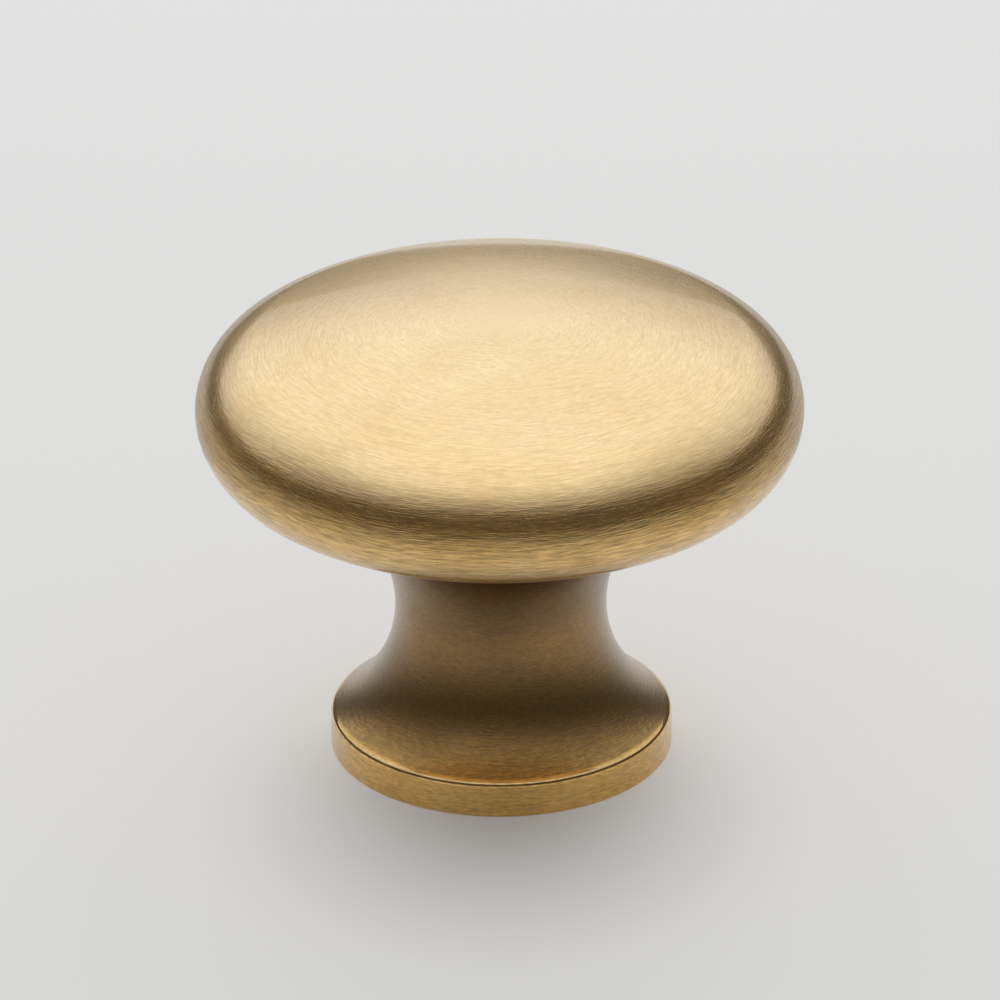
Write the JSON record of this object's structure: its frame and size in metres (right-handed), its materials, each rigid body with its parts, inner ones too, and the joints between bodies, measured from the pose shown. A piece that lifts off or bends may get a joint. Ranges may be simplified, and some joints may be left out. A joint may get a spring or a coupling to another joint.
{
  "type": "cabinet knob",
  "caption": "Mushroom-shaped cabinet knob of satin brass: shallow domed round head, waisted neck and flared round foot, with a tapped hole in its flat back.",
  "frame": {"origin": "middle of the flat back face of the foot, on the knob's axis", "axes": "+Z along the knob's axis, from the door or drawer front towards the hand; X and Y lie in the back face, and the knob is round about Z"},
  "size_m": [0.038, 0.038, 0.0296],
  "materials": {
    "satin_brass": "fine hand-brushed satin, slightly darkened, with paler worn edges"
  },
  "bodies": {
    "root": {"knob": "satin_brass"}
  },
  "joints": []
}
